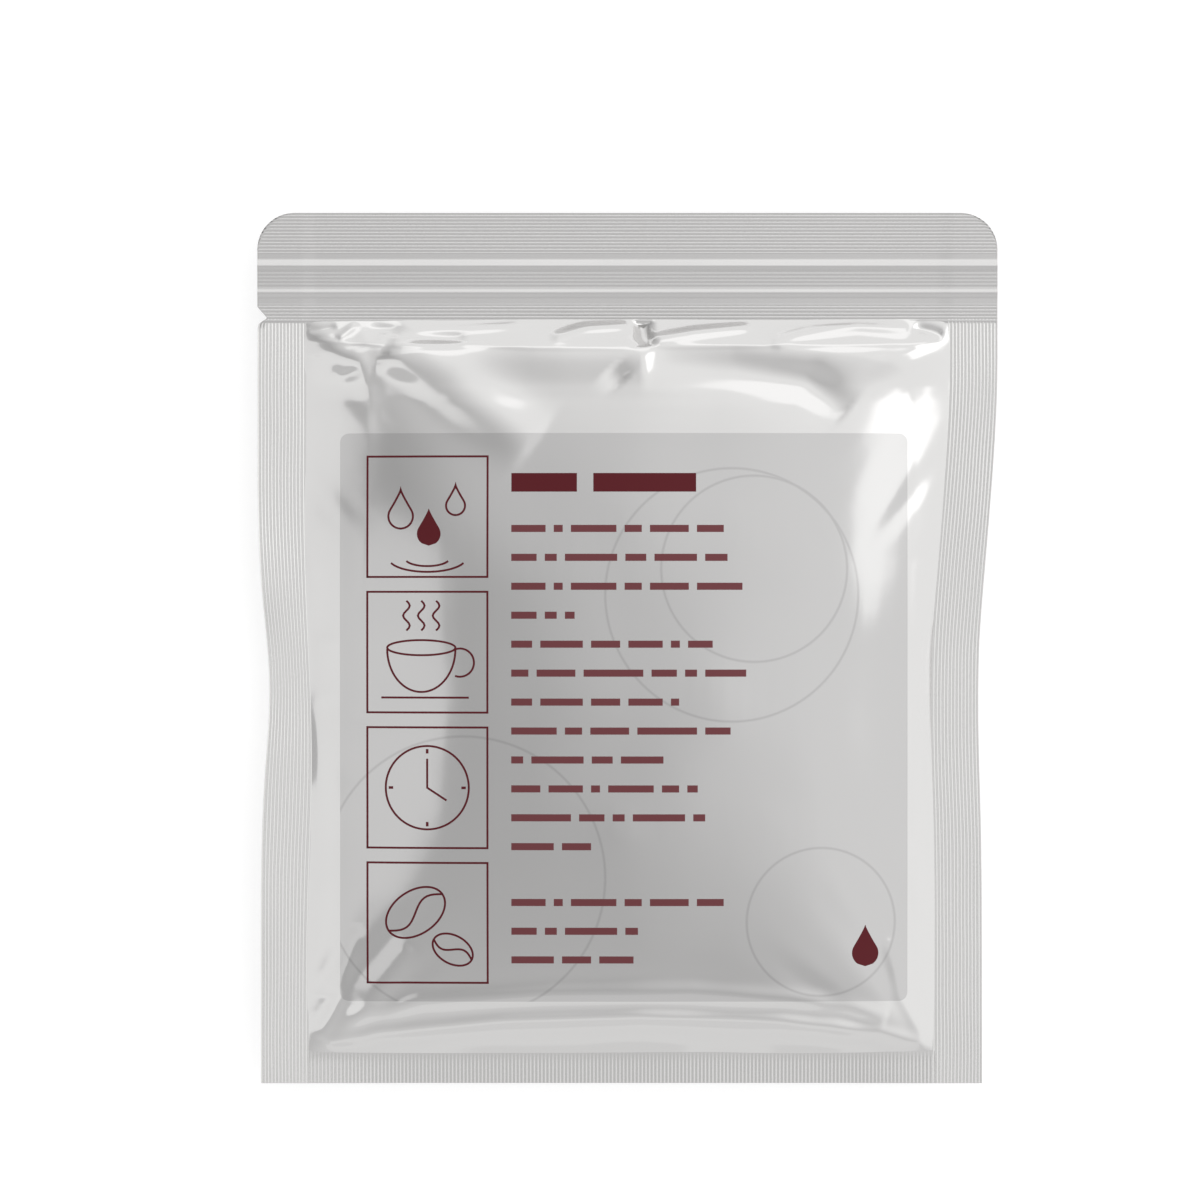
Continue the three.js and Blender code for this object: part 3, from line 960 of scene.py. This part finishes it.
def make_print(film_tree):
    frames = Print(film_tree)
    left, right = FRAME_X - FRAME_WIDTH / 2, FRAME_X + FRAME_WIDTH / 2
    for row, draw in enumerate((draw_drops, draw_cup, draw_clock, draw_beans)):
        y = TOP_FRAME_Y - row * FRAME_PITCH
        foot, top = y - FRAME_WIDTH / 2, y + FRAME_WIDTH / 2
        corners = [(left, foot), (right, foot), (right, top), (left, top)]
        frames.stroke(even([*corners, corners[0]])[:-1], closed=True)
        draw(frames, FRAME_X, y)
    title = Print(film_tree)
    for start, width in TITLE_BARS:
        title.bar(TEXT_X + start, TITLE_Y, width, TITLE_HEIGHT)
    title.blade(MARK_X, MARK_Y, MARK_HEIGHT, lambda v: drop_half_width(MARK_HEIGHT, v))
    words = Print(film_tree)
    word = 0
    for row, width in enumerate(TEXT_WIDTHS):
        word = draw_words(words, TEXT_Y - row * TEXT_PITCH, width, word)
    for row, width in enumerate(NOTE_WIDTHS):
        word = draw_words(words, NOTE_Y - row * TEXT_PITCH, width, word)
    return [
        frames.finish("printed_frames", maroon_ink),
        title.finish("printed_title", maroon_ink),
        words.finish("printed_words", soft_maroon_ink),
    ]


# Studio

PHOTO_WIDTH = 0.16216  # what the photograph's frame spans at the seals
VIEW_MIDDLE = Vector((-0.0037, 0.0065, BELLY * MM))
CAMERA_HEIGHT, SENSOR = 0.9, 36
LAMP_TARGET = Vector((0, 0, 0.01))
LAMPS = [
    ("right_box", (0.58, 0.3, 0.6), (0.45, 0.6), 0.55),
    ("left_box", (-0.62, 0.0, 0.6), (0.33, 0.9), 0.45),
    ("foot_box", (0.1, -0.75, 0.4), (0.9, 0.3), 0.08),
    ("head_box", (0.1, 0.7, 0.6), (0.7, 0.3), 0.2),
]
FLOOR_REACH, FLOOR_GREY, FLOOR_GLOW = 1.5, 0.5, 0.65
FLOOR_DROP = 0.0001  # the floor lies a hair below the sachet

# The world's light by direction: brighter to the right and the head, darkest on the left
OVERHEAD, BY_DIRECTION = 0.76, (1.05, 0.45, 0)
DARKEST, BY_FOOT_DIRECTION = 0.52, (0, -0.3, 0)
BRIGHTEST = 1.08


def make_camera():
    data = bpy.data.cameras.new("camera")
    data.sensor_width = SENSOR
    data.lens = SENSOR * CAMERA_HEIGHT / PHOTO_WIDTH
    camera = bpy.data.objects.new("camera", data)
    camera.location = VIEW_MIDDLE + Vector((0, 0, CAMERA_HEIGHT))
    bpy.context.scene.collection.objects.link(camera)
    bpy.context.scene.camera = camera


def softbox(name, place, size, power):
    data = bpy.data.lights.new(name, "AREA")
    data.shape = "RECTANGLE"
    data.size, data.size_y = size
    data.energy = power
    lamp = bpy.data.objects.new(name, data)
    lamp.location = place
    lamp.rotation_euler = (LAMP_TARGET - Vector(place)).to_track_quat("-Z", "Y").to_euler()
    bpy.context.scene.collection.objects.link(lamp)


def make_floor():
    """A grey floor that takes the shadow. It glows for the camera and in reflections, so it looks white."""
    material = bpy.data.materials.new("studio_floor")
    material.use_nodes = True
    tree = material.node_tree
    shader = tree.nodes["Principled BSDF"]
    shader.inputs["Base Color"].default_value = (FLOOR_GREY, FLOOR_GREY, FLOOR_GREY, 1)
    shader.inputs["Roughness"].default_value = 0.8
    rays = put(tree, "ShaderNodeLightPath")
    seen = put(tree, "ShaderNodeMath", operation="MAXIMUM")
    tree.links.new(rays.outputs["Is Camera Ray"], seen.inputs[0])
    tree.links.new(rays.outputs["Is Glossy Ray"], seen.inputs[1])
    glow = put(tree, "ShaderNodeMath", operation="MULTIPLY", in_1=FLOOR_GLOW)
    tree.links.new(seen.outputs[0], glow.inputs[0])
    shader.inputs["Emission Color"].default_value = (1, 1, 1, 1)
    tree.links.new(glow.outputs[0], shader.inputs["Emission Strength"])
    sheet = bmesh.new()
    bmesh.ops.create_grid(sheet, x_segments=1, y_segments=1, size=FLOOR_REACH)
    bmesh.ops.translate(sheet, verts=sheet.verts, vec=(0, 0, -FLOOR_DROP))
    mesh = bpy.data.meshes.new("floor")
    sheet.to_mesh(mesh)
    sheet.free()
    mesh.materials.append(material)
    floor = bpy.data.objects.new("floor", mesh)
    bpy.context.scene.collection.objects.link(floor)


def make_studio():
    scene = bpy.context.scene
    scene.view_settings.view_transform = "Standard"
    world = bpy.data.worlds.new("studio")
    world.use_nodes = True
    tree = world.node_tree
    towards = put(tree, "ShaderNodeTexCoord")
    slope = put(tree, "ShaderNodeVectorMath", operation="DOT_PRODUCT")
    slope.inputs[1].default_value = BY_DIRECTION
    level = put(tree, "ShaderNodeMath", operation="ADD", in_1=OVERHEAD)
    foot_slope = put(tree, "ShaderNodeVectorMath", operation="DOT_PRODUCT")
    foot_slope.inputs[1].default_value = BY_FOOT_DIRECTION
    foot_level = put(tree, "ShaderNodeMath", operation="ADD", in_1=DARKEST)
    brighter = put(tree, "ShaderNodeMath", operation="MAXIMUM")
    softened = put(tree, "ShaderNodeMath", operation="MINIMUM", in_1=BRIGHTEST)
    tree.nodes["Background"].inputs["Color"].default_value = (1, 1, 1, 1)
    link(tree, [
        (towards.outputs["Generated"], slope.inputs[0]),
        (slope.outputs["Value"], level.inputs[0]),
        (towards.outputs["Generated"], foot_slope.inputs[0]),
        (foot_slope.outputs["Value"], foot_level.inputs[0]),
        (level.outputs[0], brighter.inputs[0]),
        (foot_level.outputs[0], brighter.inputs[1]),
        (brighter.outputs[0], softened.inputs[0]),
        (softened.outputs[0], tree.nodes["Background"].inputs["Strength"]),
    ])
    scene.world = world
    for name, place, size, power in LAMPS:
        softbox(name, place, size, power)


make_camera()
make_studio()
make_floor()
pillow, film_tree = make_pillow()
pieces = [
    pillow,
    make_head(),
    make_side_seal("left_seal", left_edge, left_seam, 1.7),
    make_side_seal("right_seal", right_edge, right_seam, 6.1),
    make_foot_seal(),
    *make_print(film_tree),
]
for piece in pieces:
    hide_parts("sachet")
